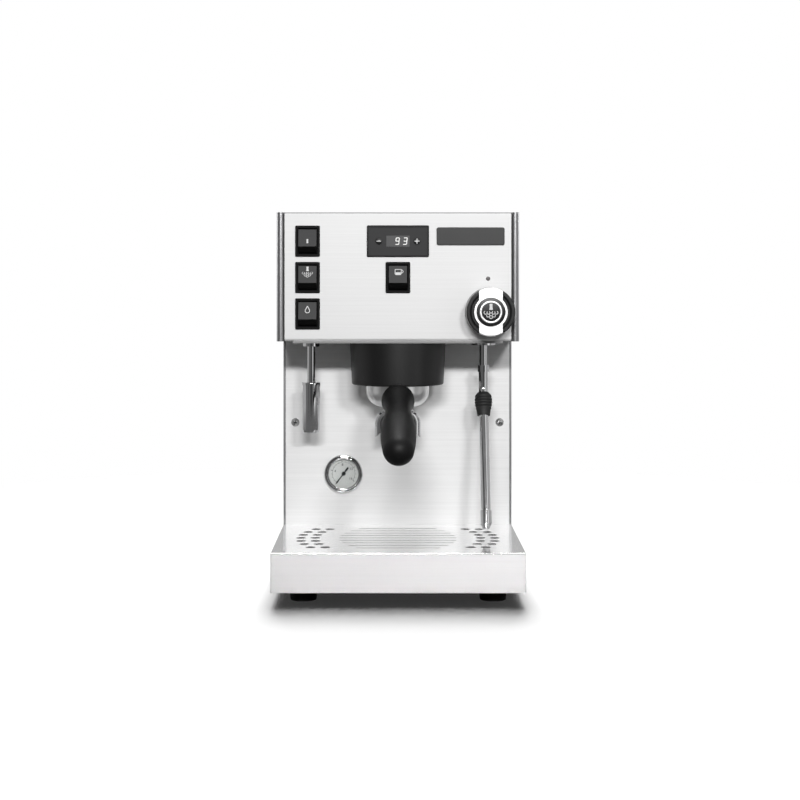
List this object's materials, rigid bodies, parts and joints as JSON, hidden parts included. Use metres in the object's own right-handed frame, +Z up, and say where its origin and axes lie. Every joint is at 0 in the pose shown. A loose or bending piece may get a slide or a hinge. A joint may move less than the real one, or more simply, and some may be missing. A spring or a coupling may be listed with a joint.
{
  "type": "espresso machine",
  "caption": "Counter-top espresso machine: steel casing with an overhanging head, locking portafilter, swivelling steam wand, hot water spout, pressure gauge and slotted drip tray.",
  "frame": {"origin": "on the ground, under the middle of the machine's width and of its length with the portafilter's handle counted in", "axes": "+Z up, +Y from the front to the rear panel, +X to the user's right"},
  "size_m": [0.25, 0.4792, 0.39],
  "materials": {
    "casing_steel": "fine brushed stainless",
    "tray_steel": "polished stainless",
    "foot_rubber": "matte",
    "black_plastic": "satin black",
    "rocker_plastic": "satin dark grey",
    "display_glass": "gloss dark window",
    "button_plastic": "gloss black",
    "lamp_lens": "dark red lens",
    "bright_metal": "polished",
    "brass_metal": "cast and plated",
    "inner_steel": "plain stainless",
    "boiler_metal": "cast",
    "seal_rubber": "matte black",
    "seat_plastic": "white low-friction plastic",
    "dial_white": "matte white",
    "needle_black": "matte black",
    "gauge_glass": "clear",
    "tank_plastic": "translucent moulding",
    "pump_plastic": "moulded"
  },
  "bodies": {
    "chassis": {"base_plate": "casing_steel", "left_side_panel": "casing_steel", "right_side_panel": "casing_steel", "splash_panel": "casing_steel", "control_fascia": "casing_steel", "head_floor": "casing_steel", "top_cover": "casing_steel", "rear_panel": "casing_steel", "rubber_feet": "foot_rubber", "power_inlet": "black_plastic", "display_housing": "black_plastic", "group_cover": "black_plastic", "power_switch_housing": "black_plastic", "steam_switch_housing": "black_plastic", "water_switch_housing": "black_plastic", "brew_switch_housing": "black_plastic", "display_window": "display_glass", "steam_lamp": "lamp_lens", "hot_water_tube": "bright_metal", "hot_water_nozzle": "bright_metal", "wand_socket": "bright_metal", "gauge_case": "bright_metal", "panel_screws": "bright_metal", "steam_valve": "brass_metal", "group_head": "brass_metal", "solenoid_valve": "brass_metal", "shower_screen": "inner_steel", "feed_pipe": "inner_steel", "steam_pipe": "inner_steel", "coffee_boiler": "boiler_metal", "steam_boiler": "boiler_metal", "group_gasket": "seal_rubber", "suction_hose": "seal_rubber", "gauge_dial": "dial_white", "gauge_glass": "gauge_glass", "water_tank": "tank_plastic", "water_pump": "pump_plastic", "control_board": "pump_plastic"},
    "power_rocker": {"power_rocker": "rocker_plastic"},
    "steam_rocker": {"steam_rocker": "rocker_plastic"},
    "water_rocker": {"water_rocker": "rocker_plastic"},
    "brew_rocker": {"brew_rocker": "rocker_plastic"},
    "minus_button": {"minus_button": "button_plastic"},
    "plus_button": {"plus_button": "button_plastic"},
    "steam_knob": {"knob_body": "black_plastic", "knob_bridge": "bright_metal", "knob_cap": "bright_metal", "valve_stem": "inner_steel"},
    "portafilter": {"portafilter_body": "bright_metal", "portafilter_handle": "black_plastic", "filter_basket": "inner_steel", "double_spout": "bright_metal"},
    "wand_seat": {"wand_seat": "seat_plastic"},
    "steam_wand": {"wand_tube": "bright_metal", "wand_grip": "seal_rubber", "wand_tip": "bright_metal"},
    "gauge_needle": {"gauge_needle": "needle_black"},
    "drip_tray": {"drip_tray": "tray_steel", "tray_grate": "tray_steel"},
    "tank_lid": {"tank_lid": "casing_steel"}
  },
  "joints": [
    {"name": "power_rock", "type": "hinge", "parent": "chassis", "child": "power_rocker", "pos_m": [-0.093, -0.10044, 0.3602], "axis": [1, 0, 0], "range_deg": [0, 14]},
    {"name": "steam_rock", "type": "hinge", "parent": "chassis", "child": "steam_rocker", "pos_m": [-0.093, -0.10044, 0.3228], "axis": [1, 0, 0], "range_deg": [0, 14]},
    {"name": "water_rock", "type": "hinge", "parent": "chassis", "child": "water_rocker", "pos_m": [-0.093, -0.10044, 0.2854], "axis": [1, 0, 0], "range_deg": [0, 14]},
    {"name": "brew_rock", "type": "hinge", "parent": "chassis", "child": "brew_rocker", "pos_m": [0, -0.10044, 0.3228], "axis": [1, 0, 0], "range_deg": [0, 14]},
    {"name": "minus_press", "type": "slide", "parent": "chassis", "child": "minus_button", "axis": [0, 1, 0], "range_m": [0, 0.0008], "stiffness_N_per_m": 1000, "springref_m": -0.0005},
    {"name": "plus_press", "type": "slide", "parent": "chassis", "child": "plus_button", "axis": [0, 1, 0], "range_m": [0, 0.0008], "stiffness_N_per_m": 1000, "springref_m": -0.0005},
    {"name": "knob_turn", "type": "hinge", "parent": "chassis", "child": "steam_knob", "pos_m": [0.094, -0.10344, 0.2876], "axis": [0, -1, 0], "range_deg": [0, 300]},
    {"name": "portafilter_turn", "type": "hinge", "parent": "chassis", "child": "portafilter", "pos_m": [0, -0.05544, 0.2223], "axis": [0, 0, 1], "range_deg": [-45, 0]},
    {"name": "wand_swivel", "type": "hinge", "parent": "chassis", "child": "wand_seat", "pos_m": [0.091, -0.05144, 0.261], "axis": [0, 0, 1], "range_deg": [-60, 60]},
    {"name": "wand_tilt", "type": "hinge", "parent": "wand_seat", "child": "steam_wand", "pos_m": [0.091, -0.05144, 0.261], "axis": [1, 0, 0], "range_deg": [-20, 6]},
    {"name": "needle_turn", "type": "hinge", "parent": "chassis", "child": "gauge_needle", "pos_m": [-0.059, -0.00544, 0.1087], "axis": [0, 1, 0], "range_deg": [0, 270], "stiffness_Nm_per_rad": 0.0002, "springref_deg": -17.19},
    {"name": "tray_slide", "type": "slide", "parent": "chassis", "child": "drip_tray", "axis": [0, -1, 0], "range_m": [0, 0.15]},
    {"name": "lid_lift", "type": "slide", "parent": "chassis", "child": "tank_lid", "axis": [0, 0, 1], "range_m": [0, 0.04]}
  ]
}
